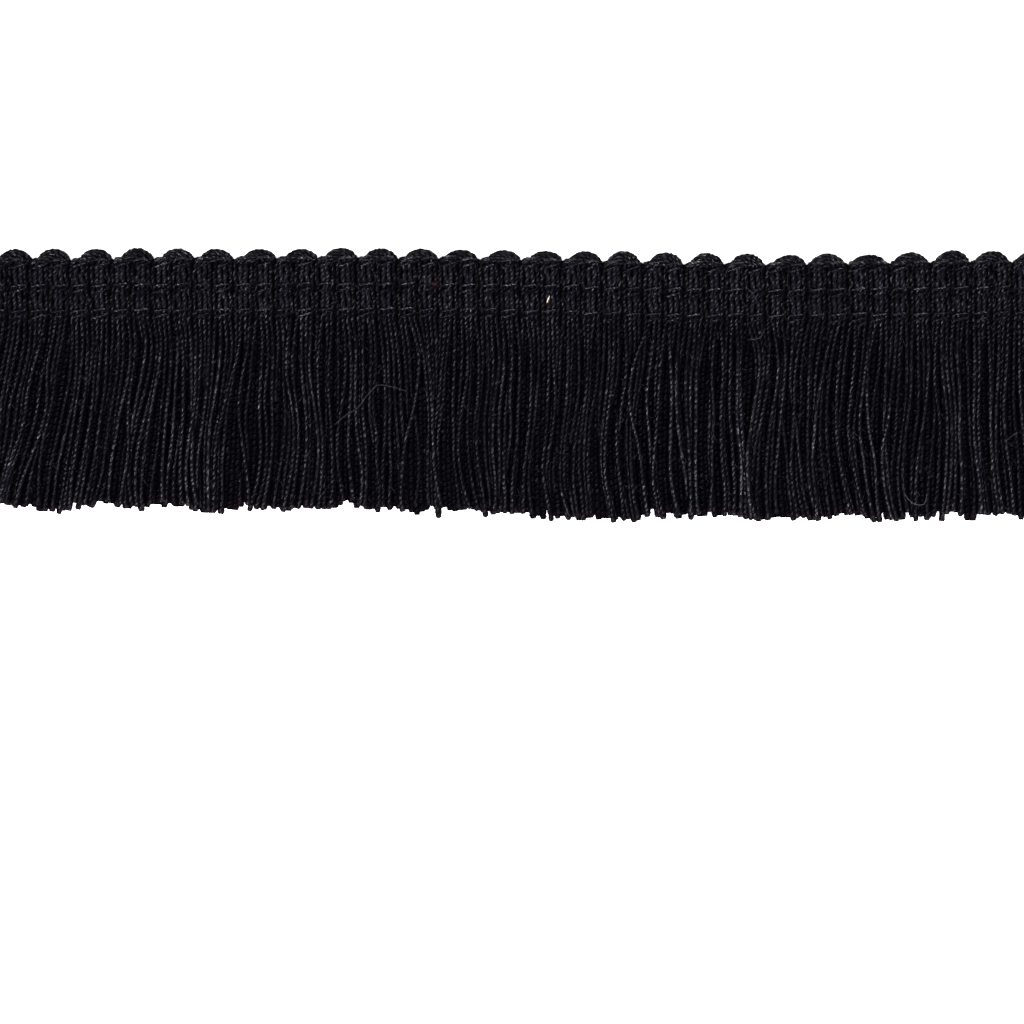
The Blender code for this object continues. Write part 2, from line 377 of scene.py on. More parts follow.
def yarn_material(name, colour, strips, along_mm, gloss, gloss_roughness, painted_plies=False):
    """Spun fibres laid along the yarn, uneven in colour, shine and height, from the tubes' own UV strips.

    gloss is the weight of the shine on a yarn that others cover, and on one that lies on top. painted_plies
    winds two plies round a yarn whose mesh is a single tube. The mesh's exposure darkens the base colour as
    painted shade, and lightens it on the heading's face as painted light.
    """
    material = bpy.data.materials.new(name)
    material.use_nodes = True
    tree = material.node_tree
    shader = tree.nodes["Principled BSDF"]
    place = node(tree, "ShaderNodeUVMap", uv_map="OFBake").outputs[0]

    def noise(across, along, detail):
        scale = (strips * across, along_mm * along, 1.0)
        mapped = node(tree, "ShaderNodeMapping", {"Vector": place, "Scale": scale}).outputs[0]
        inputs = {"Vector": mapped, "Scale": 1.0, "Detail": detail}
        return node(tree, "ShaderNodeTexNoise", inputs, noise_dimensions="2D").outputs["Fac"]

    def ranged(value, low, high, to_low, to_high):
        values = {"Value": value, "From Min": low, "From Max": high, "To Min": to_low, "To Max": to_high}
        return node(tree, "ShaderNodeMapRange", values).outputs[0]

    def product(first, second):
        return node(tree, "ShaderNodeMath", {0: first, 1: second}, operation="MULTIPLY").outputs[0]

    def scaled(tint, amount):
        return node(tree, "ShaderNodeVectorMath", {0: tint, "Scale": amount}, operation="SCALE").outputs[0]

    def added(first, second):
        return node(tree, "ShaderNodeVectorMath", {0: first, 1: second}, operation="ADD").outputs[0]

    exposure = node(tree, "ShaderNodeAttribute", attribute_name="exposure").outputs["Fac"]
    tip = node(tree, "ShaderNodeAttribute", attribute_name="tip").outputs["Fac"]
    fibre, slub, grain = noise(*FIBRE_NOISE), noise(*SLUB_NOISE), noise(*GRAIN_NOISE)

    # Painted shade: the base colour is darkened where the exposure is under 1, besides the fibres' random
    # tone.
    shade = product(ranged(fibre, *SHADE_BY_FIBRE), ranged(exposure, *SHADE_BY_EXPOSURE))
    # Painted light: the heading's face is lightened, least beside the grooves and under the chain stitches.
    heading_light_share = product(ranged(exposure, *HEADING_LIGHT_BY_EXPOSURE), ranged(fibre, *HEADING_LIGHT_BY_FIBRE))
    tinted = added(added(scaled(colour, shade), scaled(TIP_BROWN, tip)), scaled(HEADING_LIGHT, heading_light_share))
    tree.links.new(tinted, shader.inputs["Base Color"])
    tree.links.new(ranged(fibre, *ROUGHNESS_BY_FIBRE), shader.inputs["Roughness"])

    shine = product(ranged(exposure, 0.0, 1.0, *gloss), ranged(slub, *SHINE_BY_SLUB))
    shine = product(shine, ranged(exposure, *SHINE_WHERE_HEADING_LIT))
    shine = product(shine, ranged(grain, *SHINE_BY_GRAIN))
    shine = product(shine, ranged(fibre, *SHINE_BY_FIBRE))
    height = fibre
    if painted_plies:
        # The tube itself turns with BACK_TWIST_LEAD. The rest of the turning is added along the strip.
        more_turns = 2.0 / TWIST_LEAD - 2.0 / BACK_TWIST_LEAD
        pace = (2 * math.pi * 2 * strips / STRIP_SHARE, -2 * math.pi * more_turns * along_mm, 0.0)
        phase = node(tree, "ShaderNodeVectorMath", {0: place, 1: pace}, operation="DOT_PRODUCT")
        ply = node(tree, "ShaderNodeMath", {0: phase.outputs["Value"]}, operation="SINE").outputs[0]
        shine = product(shine, ranged(ply, *SHINE_BY_PLY))
        inputs = {0: ply, 1: PLY_BUMP, 2: fibre}
        height = node(tree, "ShaderNodeMath", inputs, operation="MULTIPLY_ADD").outputs[0]
    tree.links.new(shine, shader.inputs["Coat Weight"])
    inputs = {"Height": height, "Strength": 1.0, "Distance": BUMP_MM * MM}
    bump = node(tree, "ShaderNodeBump", inputs).outputs[0]
    tree.links.new(bump, shader.inputs["Normal"])
    tree.links.new(bump, shader.inputs["Coat Normal"])
    shader.inputs["Coat Roughness"].default_value = gloss_roughness
    shader.inputs["Specular IOR Level"].default_value = SPECULAR
    return material


# ---------------------------------------------------------------- fringe lie


FRINGE_SLICES = 44
FRINGE_ROOT_Y = ROW_YS[2] - 0.35
HALF_TRIM = 50.0
UNCUT = 1.06  # how far the yarns run before they are cut, as a share of the fringe's drop

# Below the heading the yarns lie in three layers: an even back one, one over its joints, and one that lies
# loose on top. These are the heights of their centre lines, and how unevenly the yarns take their places.
BACK_LEVEL, SUNK_LEVEL, PROUD_LEVEL = 0.40, 0.84, 1.40
FRONT_UNEVEN, BACK_UNEVEN = 0.12, 0.06
PLACE_UNEVEN = 0.10
ALTERNATE, PROUD_UNEVEN = 0.28, 0.34  # neighbours in front tend to lie over and under in turn
SUNK_FREEDOM, MORE_FREEDOM, BACK_FREEDOM = 0.45, 0.6, 0.1  # the second is added as a yarn lies more proud

LOCKS = 54  # groups of yarns that hang together

# Standard deviations in millimetres, of a lock and of the length of single yarns, and how many of them a
# single yarn may differ by.
LOCK_BEND, LOCK_SPLAY, LOCK_LEVEL, LOCK_LENGTH = 0.28, 0.46, 0.15, 0.18
FRONT_LENGTH, BACK_LENGTH = 0.19, 0.14
MOST_LONGER, MOST_SHORTER = 2.2, 1.6

# How far a lock's yarns draw together, as a share of the way to its middle: mean, deviation, least, most.
GATHER, GATHER_UNEVEN, LEAST_GATHER, MOST_GATHER = 0.28, 0.22, -0.1, 0.65
GATHER_POWER, STRAY_POWER = 1.3, 1.5  # over 1 keeps both for the lower part of the fringe

# Depths by which the yarns have left their rib for even places, and settled in their layers.
SPREAD_DEPTH, SETTLE_DEPTH = 0.14, 0.22
LOOSENING = 2.5  # how fast the yarns come free of the heading
OWN_WAVES = ((0.20, 0.9), (0.07, 3.1))  # size, and how many the drop has room for
OWN_LEAN = 0.36
STRAY_PROUD, STRAY_SHARE, STRAY_LEAN = 0.8, 0.28, 0.95  # some of the yarns on top lie across the others
ROLL_SIZE, ROLL_PACES = 0.13, (5.1, 11.7)  # up and down, and radians over the drop
SAG = 0.16  # of the front yarns, at the cut end
FRINGE_WAVES = ((11.0, 0.20), (4.2, 0.12))  # of neighbours together: wavelength along the trim, and size
WAVE_SLANT, WAVE_FALL = 3.0, 2.2 * math.pi  # radians over the drop

# Where the cut edge is notched, and where single yarns hang past it. Columns: place along X, the edge's Y.
NOTCHES = (
    (-36.2, -19.1),
    (-14.4, -19.5),
    (-10.7, -19.6),
    (-6.1, -19.4),
    (-2.7, -19.6),
    (4.4, -19.8),
    (14.0, -19.9),
    (18.9, -20.0),
    (25.0, -20.1),
    (34.9, -20.1),
    (36.9, -20.1),
)
NOTCH_REACH = 0.32  # to each side, for the front yarns
NOTCH_SLOPE = 0.9
LONG_ENDS = (
    (-31.9, -20.1),
    (-11.3, -20.2),
    (-5.3, -20.7),
    (-1.1, -20.6),
    (10.3, -21.1),
    (13.5, -20.6),
    (24.2, -20.9),
    (35.3, -20.9),
    (39.7, -21.0),
)

# Settling.
LAYER_ROUNDS, LAYER_SMOOTHING = 90, 0.25
SETTLING_ROUNDS, LINE_SMOOTHING = 140, 0.30
NEIGHBOURS = 13  # how many yarns to each side one may press on
TOUCHING = 0.43  # distance between the centre lines of two yarns that touch
LEAST_RISE = 0.02  # yarns at one height are moved apart as if one were this much higher
PUSH, UPWARDS = 0.22, 1.3  # share of an overlap that a yarn moves by in a round, and more of it in height
PULL, HELD_PULL = 0.03, 0.3  # back to where a yarn was laid, and more where others hold it


def fringe_ends():
    """Where each cut yarn runs: arrays of (ribs, strands, slices) for X, Y and Z."""
    table = np.array(STRANDS)
    each = (RIBS, len(STRANDS))
    rib, strand = np.arange(RIBS)[:, None], np.arange(len(STRANDS))
    front, order = strand < FRONT_STRANDS, strand % FRONT_STRANDS
    mirror = np.where(rib % 2 == 0, -1.0, 1.0)
    rib_x = rib_middle(rib)
    root_x = rib_x + np.where(front, FRONT_PINCH, BACK_PINCH) * (mirror * table[:, 0])
    root_x = root_x + drift(root_x)
    root_y = FRINGE_ROOT_Y + rows_rise(root_x)
    root_z = np.broadcast_to(table[:, 2], each)

    step = RIB_PITCH / FRONT_STRANDS
    place = mirror * (order - (FRONT_STRANDS - 1) / 2) * step + np.where(front, step / 2, 0.0)
    place = place + front * rng.normal(0, PLACE_UNEVEN, each)
    x_even = rib_x + place
    alternate = np.where((order % 2 == 1) == (mirror > 0), ALTERNATE, -ALTERNATE)
    proud = np.clip(0.5 + alternate + rng.normal(0, PROUD_UNEVEN, each), 0, 1)
    wander = np.where(front, SUNK_FREEDOM + MORE_FREEDOM * proud, BACK_FREEDOM)
    level = np.where(front, SUNK_LEVEL + proud * (PROUD_LEVEL - SUNK_LEVEL), BACK_LEVEL)
    level = level + rng.normal(0, 1, each) * np.where(front, FRONT_UNEVEN, BACK_UNEVEN)
    lock = np.searchsorted(np.sort(rng.uniform(-HALF_TRIM, HALF_TRIM, LOCKS)), x_even)

    def of_lock(deviation):
        """A random value for each lock, given to each of its yarns."""
        return rng.normal(0, deviation, LOCKS + 1)[lock]

    level = level + front * of_lock(LOCK_LEVEL)
    edge_y = column(FRINGE_LIE, x_even, 3)
    tip_y = edge_y + of_lock(LOCK_LENGTH)
    uneven = np.clip(rng.normal(0, 1, each), -MOST_LONGER, MOST_SHORTER)
    tip_y = tip_y + uneven * np.where(front, FRONT_LENGTH, BACK_LENGTH)

    depth = np.linspace(0, UNCUT, FRINGE_SLICES)
    y = root_y[..., None] + depth * (edge_y - root_y)[..., None]
    x = root_x[..., None] + eased(np.clip(depth / SPREAD_DEPTH, 0, 1)) * (x_even - root_x)[..., None]
    x = x + lock_shift(x_even[..., None], depth)
    # Yarns wander a little on their own, and more together with their neighbours.
    phase = rng.uniform(0, 2 * np.pi, each + (2,))
    size = rng.normal(0, 1, each + (2,))
    bowed = of_lock(LOCK_BEND)[..., None] * 4 * depth * (1 - depth)
    splayed = of_lock(LOCK_SPLAY)[..., None] * depth**2
    swung = of_lock(LOCK_BEND)[..., None] * np.sin(2 * np.pi * depth)
    x += wander[..., None] * (bowed + splayed + swung)
    # A lock's yarns draw together towards the cut end, and leave dark gaps between the locks.
    centre = np.bincount(lock.ravel(), x_even.ravel()) / np.maximum(np.bincount(lock.ravel()), 1)
    gather = np.clip(rng.normal(GATHER, GATHER_UNEVEN, LOCKS + 1), LEAST_GATHER, MOST_GATHER)[lock]
    x += depth**GATHER_POWER * (wander * gather * (centre[lock] - x_even))[..., None]
    loosened = np.clip(depth * LOOSENING, 0, 1)
    free = loosened * wander[..., None]
    own = 0.0
    for i, (wave_size, waves) in enumerate(OWN_WAVES):
        wave = np.sin(2 * np.pi * depth * waves + phase[..., i : i + 1])
        own = own + wave_size * size[..., i : i + 1] * wave
    x += free * own
    x += depth * (rng.normal(0, OWN_LEAN, each) * wander)[..., None]
    stray = (proud > STRAY_PROUD) & (rng.uniform(0, 1, each) < STRAY_SHARE)
    x += depth**STRAY_POWER * (stray * rng.normal(0, STRAY_LEAN, each))[..., None]
    for wavelength, wave_size in FRINGE_WAVES:
        shift = rng.uniform(0, 2 * np.pi, 2)
        along = 2 * np.pi * x_even[..., None] / wavelength + WAVE_SLANT * depth + shift[0]
        x += wave_size * loosened * np.sin(along) * np.sin(WAVE_FALL * depth + shift[1])

    z = root_z[..., None] + np.clip(depth / SETTLE_DEPTH, 0, 1) * (level - root_z)[..., None]
    z -= SAG * depth * front[None, :, None]
    roll = rng.uniform(0, 2 * np.pi, each + (2,))
    first_roll, second_roll = (np.sin(ROLL_PACES[i] * depth + roll[:, :, i, None]) for i in (0, 1))
    z += ROLL_SIZE * free * (first_roll + second_roll)
    x, z = settled(x, z, root_x, root_z, wander)

    # The yarns are cut once they lie where they lie.
    tip_y = cut_edge(x, tip_y, front)
    shares = np.linspace(0, 1, FRINGE_SLICES) * ((tip_y - root_y) / (edge_y - root_y) / UNCUT)[..., None]
    return shortened(x, shares), shortened(y, shares), shortened(z, shares)


def cut_edge(x, tip_y, front):
    """The cut ends' Y, with the notches and the long ends. Behind a notch only the nearest yarn is cut."""
    tip_x = x[..., round((FRINGE_SLICES - 1) / UNCUT)]
    reach = np.where(front, NOTCH_REACH, RIB_PITCH / FRONT_STRANDS / 2)
    for notch_x, notch_y in NOTCHES:
        away = np.abs(tip_x - notch_x)
        tip_y = np.where(away < reach, np.maximum(tip_y, notch_y - NOTCH_SLOPE * away), tip_y)
    for end_x, end_y in LONG_ENDS:
        away = np.where(front, np.abs(tip_x - end_x), np.inf)
        tip_y.flat[np.argmin(away)] = end_y
    return tip_y


def shortened(values, shares):
    """The values at these shares of the way along each line."""
    wanted = shares * (FRINGE_SLICES - 1)
    before = np.minimum(wanted.astype(int), FRINGE_SLICES - 2)
    first, following = np.take_along_axis(values, before, 2), np.take_along_axis(values, before + 1, 2)
    return first + (wanted - before) * (following - first)


def smooth(rows, amount):
    """Draws each row but the first and the last towards the rows beside it, in place."""
    rows[1:-1] += amount * (rows[:-2] + rows[2:] - 2 * rows[1:-1])


def settled(x, z, root_x, root_z, wander):
    """Moves yarns that lie in each other apart, slice by slice, and keeps each one a smooth line."""
    slices = x.shape[2]
    order = np.argsort(x.reshape(-1, slices)[:, 2])
    px, pz = x.reshape(-1, slices)[order], z.reshape(-1, slices)[order]
    root_x, root_z = root_x.reshape(-1)[order], root_z.reshape(-1)[order]
    loose = wander.reshape(-1)[order][:, None]  # the deeper yarns are held by those around them
    deepest = loose == loose.min()
    # The deepest yarns spread until no gap shows between them.
    layer = np.sort(px[deepest[:, 0]], axis=0)
    for _ in range(LAYER_ROUNDS):
        smooth(layer, LAYER_SMOOTHING)
    px[deepest[:, 0]] = layer
    laid_x, laid_z = px.copy(), pz.copy()
    floor = np.where(deepest, BACK_FRINGE_RADIUS, FRINGE_YARN_RADIUS)
    for _ in range(SETTLING_ROUNDS):
        move_x, move_z = np.zeros_like(px), np.zeros_like(pz)
        for step in range(1, NEIGHBOURS + 1):
            dx, dz = px[step:] - px[:-step], pz[step:] - pz[:-step]
            dz = dz + np.where(np.abs(dz) < LEAST_RISE, LEAST_RISE, 0.0)
            distance = np.sqrt(dx * dx + dz * dz) + 1e-6
            push = np.clip(TOUCHING - distance, 0, None) * PUSH / distance
            move_x[step:] += push * dx
            move_x[:-step] -= push * dx
            move_z[step:] += push * dz * UPWARDS
            move_z[:-step] -= push * dz * UPWARDS
        px += loose * move_x + (PULL + HELD_PULL * (1 - loose)) * (laid_x - px)
        pz += move_z + PULL * (laid_z - pz)
        px[:, 0], pz[:, 0] = root_x, root_z
        smooth(px.T, LINE_SMOOTHING)
        smooth(pz.T, LINE_SMOOTHING)
        pz = np.clip(pz, floor, None)
    back = np.argsort(order)
    return px[back].reshape(x.shape), pz[back].reshape(x.shape)


# ---------------------------------------------------------------- yarns


STEPS_PER_TURN, BACK_STEPS_PER_TURN = 6, 5
OUTER_REACH = RIB_PITCH / 2 + 0.57  # yarns at least this far from a scallop's middle make its edge
ARCH_HEIGHT = 1.02  # of the outer yarn's centre line, above the top chain row
VALLEY_RISE = 0.34  # of the same line, between two scallops
LEDGE_PLACE, LEDGE_SHARE = 0.55, 0.2  # 0.5 would be half way from the rib to the arch's round part
ARCH_POINTS, HALF_TURN_STEPS = 10, 9.6  # on the round part, and how many steps would be half a turn
ARCH_POWER = 1.3  # over 1 gives a narrower peak than an ellipse has
ARCH_EARLY = 0.3  # an arch has its full height over the back this share of its rise before its peak

# A scallop's round part starts this far past its left rib, and ends this far past its right one.
DOME_START, DOME_OVERHANG = 0.74, 0.22

# Between two chain rows a rib swells. Columns: share of the way to the next row, share of the swelling.
SWELLING = ((0.30, 0.75), (0.50, 1.0), (0.70, 0.75))
MOVED_POINTS = 16  # of a yarn, on its two ribs. Those of the front yarns are moved a little, at random.
MOVED_ASIDE, MOVED_UP = 0.05, 0.08

# Slow waves along a yarn, in thickness and in twist. Columns: radians to a millimetre, size.
THICKNESS_WAVES = ((1.7, 0.05), (4.3, 0.05))
TWIST_WAVES = ((0.8, 0.8), (1.9, 0.6), (3.7, 0.4))
SLOWEST_WAVE, FASTEST_WAVE = 0.7, 1.3  # shares of those paces
LATEST_START = 6  # radians

# Where a yarn changes from the heading to the fringe: how far below the bottom row, and over what length.
FREE_FROM, FREE_OVER = 0.3, 2.5
PLY_ARM = 0.38  # in the heading, a ply's distance from the centre line as a share of the radius
LEAST_CLOSER, MOST_CLOSER = 0.08, 0.26  # taken off it in the fringe: some yarns are twisted harder
END_OPENING, END_OPENING_LENGTH = 0.20, 2.5  # the plies open towards the cut end

# At the cut end itself: shares of a yarn's radius, exposure and brown, each with the length that changes
# it by 1.
END_RADIUS, END_TAPER = 0.75, 0.5
END_SHINE, END_FADE = 0.45, 0.9
BROWN_END, BROWN_FADE = 1.3, 0.8

# What sets a yarn's exposure, with lengths in millimetres.
DULLEST, BRIGHTEST = 0.40, 1.15  # single yarns in the fringe
LIFT_FROM, LIFT_OVER = 0.85, 0.5  # the height at which they start to shine, and the rise to full; lower yarns get painted shade
HEADING_FADE = 3.0  # below the bottom chain row
# Painted shade on the scallops' arches: where it starts above the top row, the rise to full, and how much it
# takes off.
ARCH_FROM, ARCH_OVER, ARCH_SHADE = 0.1, 0.4, 0.35
GROOVE_SHINE, GROOVE_ARCH_SHINE = 0.31, 0.69  # painted shade beside a groove: the share of the exposure kept there, and what the arch adds to it
STITCH_SHADE, STITCH_WIDTH = 0.70, 0.17  # painted shade between the legs of a chain row
ROOT_SHADE, ROOT_DROP, ROOT_WIDTH = 0.30, 0.5, 0.9  # painted shade where the fringe starts

ARCH_SIZES = 1 + np.clip(rng.normal(0, 0.05, SCALLOPS), -0.09, 0.09)  # no two scallops are quite alike
ARCH_LEANS = np.clip(rng.normal(0, 0.09, SCALLOPS), -0.18, 0.18)
ENDS = np.stack(fringe_ends(), axis=-1)


def heading_path(scallop, strand):
    """Centre line of one yarn in the heading: up the left rib, over the arch, down the right rib.

    On its left the arch first runs level, as a ledge in the valley between two scallops.
    """
    front = strand < FRONT_STRANDS
    offset, crown_z, row_z, arch_z = STRANDS[strand]
    pinch, bulge = (FRONT_PINCH, FRONT_BULGE) if front else (BACK_PINCH, BACK_BULGE)
    middle = (scallop - (SCALLOPS - 1) / 2) * SCALLOP_PITCH
    drifted = drift(middle)
    middle += drifted
    pinched = middle - RIB_PITCH / 2 - pinch * offset
    bulged = middle - RIB_PITCH / 2 - bulge * offset
    left = []
    for row_y in reversed(ROW_YS):
        left.append((pinched, row_y + rows_rise(pinched), row_z))
        for rise, share in SWELLING:
            x = pinched + share * (bulged - pinched)
            left.append((x, row_y + rise * CHAIN_PITCH + rows_rise(x), row_z + share * (crown_z - row_z)))
    left = np.array(left[: -len(SWELLING)])
    # The right rib goes without its lowest points, and slants down into the fringe.
    right = left[::-1][: MOVED_POINTS - len(left)].copy()
    right[:, 0] = 2 * middle - right[:, 0]
    moved = rng.normal(0, 1, (MOVED_POINTS, 2)) * ((MOVED_ASIDE, MOVED_UP) if front else (0.0, 0.0))
    left[:, (0, 2)] += moved[: len(left)]
    right[:, (0, 2)] += moved[len(left) :]

    outer = min(1.0, (RIB_PITCH / 2 + offset) / OUTER_REACH) ** 0.9
    inside = 0.0 if front else BACK_YARN_RADIUS - HEADING_YARN_RADIUS  # thicker yarns keep behind the edge
    lean = ARCH_LEANS[scallop] - drifted
    height = ARCH_HEIGHT * outer * ARCH_SIZES[scallop] - inside
    valley = VALLEY_RISE * outer - inside
    half = RIB_PITCH / 2 + pinch * offset
    dome_left = DOME_START * outer**1.5 - half
    dome_right = half + DOME_OVERHANG * outer - inside
    dome_middle = (dome_left + dome_right) / 2 + lean * outer
    dome_half = (dome_right - dome_left) / 2 - 0.5 * inside
    arch = [(LEDGE_PLACE * (dome_middle - dome_half - half), valley, LEDGE_SHARE)]
    for step in range(ARCH_POINTS):
        theta = math.pi * (step - (ARCH_POINTS - 1) / 2) / HALF_TURN_STEPS
        share = math.cos(theta) ** ARCH_POWER
        arch.append((dome_middle + dome_half * math.sin(theta), valley + (height - valley) * share, share))
    for index, (x, y, share) in enumerate(arch):
        x += middle
        rise = rows_rise(x) + (edge_rise(x) - rows_rise(x)) * share
        z = row_z + (arch_z - row_z) * min(1.0, share + ARCH_EARLY)
        arch[index] = (x, ROW_YS[0] + y + rise, z)
    return np.concatenate([left, arch, right])


def uneven_wave(run, pace):
    """A wave along each yarn, with a pace and a start of its own."""
    own_pace = rng.uniform(SLOWEST_WAVE, FASTEST_WAVE, (SCALLOPS, 1))
    return np.sin(run * pace * own_pace + rng.uniform(0, LATEST_START, (SCALLOPS, 1)))


def near(distance, width):
    """1 where the distance is 0, fading out over the width to both sides."""
    return np.exp(-((distance / width) ** 2))


def exposure_along(strand, paths, to_end, dull):
    """How far each yarn lies on top, at each of its points. It carries painted shade, and painted light on
    the heading's face.
    """
    y = paths[..., 1]
    above_root = y - rows_rise(paths[..., 0])
    root = np.clip((ROW_YS[2] - y) / HEADING_FADE, 0, 1)
    # Painted shade: below the heading the back yarns, which others cover, are darker and duller.
    exposure = 1 - root
    if strand < FRONT_STRANDS:
        # Painted shade: front yarns that lie lower in the fringe are darker and duller.
        lifted = np.clip((paths[..., 2] - LIFT_FROM) / LIFT_OVER, 0, 1)
        arch = np.clip((above_root - ROW_YS[0] - ARCH_FROM) / ARCH_OVER, 0, 1)
        beside_groove = strand in (0, FRONT_STRANDS - 1)  # painted shade there, where the rib falls away
        # Painted light on the heading's face, cut back beside a groove as painted shade.
        lit_face = HEADING_LIT * (1 - root) * (GROOVE_SHINE + GROOVE_ARCH_SHINE * arch if beside_groove else 1.0)
        # Painted shade on the arch.
        exposure = np.maximum(dull * lifted * root, lit_face) - ARCH_SHADE * arch
    # Painted shade under each chain row.
    for row_y in ROW_YS:
        exposure = exposure * (1 - STITCH_SHADE * near(above_root - row_y, STITCH_WIDTH))
    # Painted shade where the fringe starts below the heading.
    exposure = exposure * (1 - ROOT_SHADE * near(above_root - FRINGE_ROOT_Y + ROOT_DROP, ROOT_WIDTH))
    return exposure * np.clip(END_SHINE + to_end / END_FADE, 0, 1)


def yarn_piece(strand, material):
    """The same yarn of the bundle in every scallop, as one mesh, and its centre lines."""
    front = strand < FRONT_STRANDS
    lead = TWIST_LEAD if front else BACK_TWIST_LEAD
    lines = []
    for scallop in range(SCALLOPS):
        left, right = ENDS[2 * scallop, strand], ENDS[2 * scallop + 1, strand]
        lines.append(np.concatenate([left[::-1], heading_path(scallop, strand), right]))
    longest = max(step_lengths(line).sum() for line in lines)
    count = int(longest / lead * (STEPS_PER_TURN if front else BACK_STEPS_PER_TURN))
    made = [resampled(line, count) for line in lines]
    paths = np.stack([path for path, _ in made])
    lengths = np.array([length for _, length in made])[:, None]
    run = np.linspace(0, 1, count)[None, :] * lengths
    to_end = np.minimum(run, lengths - run)

    # Thinner where the chain stitches hold it, fuller where it hangs free.
    free = np.clip((ROW_YS[2] - paths[..., 1] - FREE_FROM) / FREE_OVER, 0, 1)
    held_radius = HEADING_YARN_RADIUS if front else BACK_YARN_RADIUS
    free_radius = FRINGE_YARN_RADIUS if front else BACK_FRINGE_RADIUS
    radii = held_radius + (free_radius - held_radius) * free
    for pace, size in THICKNESS_WAVES:
        radii *= 1 + size * uneven_wave(run, pace)
    turn = rng.uniform(0, 2 * np.pi, (SCALLOPS, 1)) + 2 * np.pi * run / lead
    for pace, size in TWIST_WAVES:
        turn += size * uneven_wave(run, pace)
    if front:
        radii *= 1 + END_OPENING * np.exp(-to_end / END_OPENING_LENGTH)
    radii *= np.clip(END_RADIUS + to_end / END_TAPER, 0, 1)

    exposure = exposure_along(strand, paths, to_end, rng.uniform(DULLEST, BRIGHTEST, (SCALLOPS, 1)))
    tip = np.clip(BROWN_END - to_end / BROWN_FADE, 0, 1) * rng.uniform(0, 1, (SCALLOPS, 1)) ** 2
    name = f"weft_yarn_{strand + 1}"
    if not front:
        piece = tubes(name, paths, radii, turn, BACK_SECTION, material, exposure, tip)
        return piece, paths
    arm = PLY_ARM - free * rng.uniform(LEAST_CLOSER, MOST_CLOSER, (SCALLOPS, 1))
    plies, ply_radii = plied(paths, radii, turn, arm)
    exposure, tip = np.concatenate([exposure, exposure]), np.concatenate([tip, tip])
    piece = tubes(name, plies, ply_radii, 0 * ply_radii, PLY_SECTION, material, exposure, tip)
    return piece, paths


# ---------------------------------------------------------------- chain stitch


THREAD_ARM = 0.44
LEG_HEIGHT, LOWER_LEG_DROP = 1.23, 0.15  # of the thread's centre line
LEG_UNEVEN, HEIGHT_UNEVEN = 0.035, 0.05
LEFT_DROOP, RIGHT_DROOP, LOWER_LEG_DROOP = 0.34, 0.12, 0.10  # where a row droops fully
LEG_FROM, LEG_OVER = 0.92, 0.30  # the height at which the thread starts to shine, and the rise to full; lower down it gets painted shade
# Painted shade on the lower legs.
LOWER_LEG_SHINE = 0.9


def chain_loop(x, row_y, above, below, droop, drooping_left):
    """Points of one loop: the upper leg to the left, the lower leg to the right, the bar to the left."""
    y = row_y + float(rows_rise(x))
    moved = rng.normal(0, LEG_UNEVEN, 2)
    high = LEG_HEIGHT + rng.normal(0, HEIGHT_UNEVEN)
    low = high - LOWER_LEG_DROP + LOWER_LEG_DROOP * droop + rng.normal(0, HEIGHT_UNEVEN)
    left_droop, right_droop = (LEFT_DROOP * droop, 0.0) if drooping_left else (0.0, RIGHT_DROOP * droop)
    upper, lower = y + above + moved[0], y - below + moved[1]
    return [
        (x + 0.96, y + 0.10 + 0.16 * droop, 0.30),
        (x + 0.84, y + 0.20 + 0.10 * droop, 0.56),
        (x + 0.62, upper + 0.02 - right_droop, high - 0.20),
        (x + 0.30, upper + 0.03, high + 0.03),
        (x - 0.20, upper - 0.3 * left_droop, high + 0.03),
        (x - 0.53, upper - 0.04 - 0.8 * left_droop, high - 0.12),
        (x - 0.74, upper - 0.10 - left_droop, 0.70),
        (x - 0.87, y - 0.02, 0.40),
        (x - 0.77, lower - 0.02, 0.66),
        (x - 0.50, lower, low - 0.17),
        (x - 0.12, lower + 0.09, low - 0.04),
        (x + 0.28, lower + 0.18, low - 0.06),
        (x + 0.60, lower + 0.27, low - 0.26),
        (x + 0.84, y, 0.66),
        (x + 0.94, y - 0.05, 0.30),
        (x + 0.70, y - 0.05, 0.16),
        (x, y - 0.02, 0.14),
        (x - 0.70, y + 0.05, 0.16),
    ]


def chain_row(name, row_y, above, below, droop, material):
    """Loops of one thread: two legs over each rib, above and below the row's middle, and a bar behind."""
    loops = []
    for rib in range(RIBS):
        x = rib_middle(rib)
        loops.append(chain_loop(x + float(drift(x)), row_y, above, below, droop, rib % 2 == 0))
    line = np.array([point for loop in reversed(loops) for point in loop])
    count = int(step_lengths(line).sum() / THREAD_LEAD * STEPS_PER_TURN)
    path, length = resampled(line, count)
    path = path[None]
    turn = 2 * np.pi * np.linspace(0, length, count)[None] / THREAD_LEAD
    radii = np.full((1, count), THREAD_RADIUS)
    # Painted shade: the thread is darker and duller where it lies low, and on its lower legs.
    exposure = np.clip((path[..., 2] - LEG_FROM) / LEG_OVER, 0, 1)
    on_lower_leg = path[..., 1] < row_y + rows_rise(path[..., 0])
    exposure = exposure * np.where(on_lower_leg, LOWER_LEG_SHINE, 1.0)
    plies, ply_radii = plied(path, radii, turn, THREAD_ARM)
    exposure = np.concatenate([exposure, exposure])
    return tubes(name, plies, ply_radii, 0 * ply_radii, PLY_SECTION, material, exposure)


# ---------------------------------------------------------------- fibres


LOOSE_FIBRES = 1350  # on each of the four front yarns
FIBRE_RADIUS, FIBRE_POINTS = 0.012, 3
FIBRE_FROM = 0.16  # distance from the yarn's centre line to a fibre's start
FIBRE_OUT, FIBRE_ALONG = 0.55, 0.75
FIBRE_LENGTH, FIBRE_CURL = 0.65, 0.35
FIBRE_LIFT, FIBRE_FLOOR = 0.5, 0.05

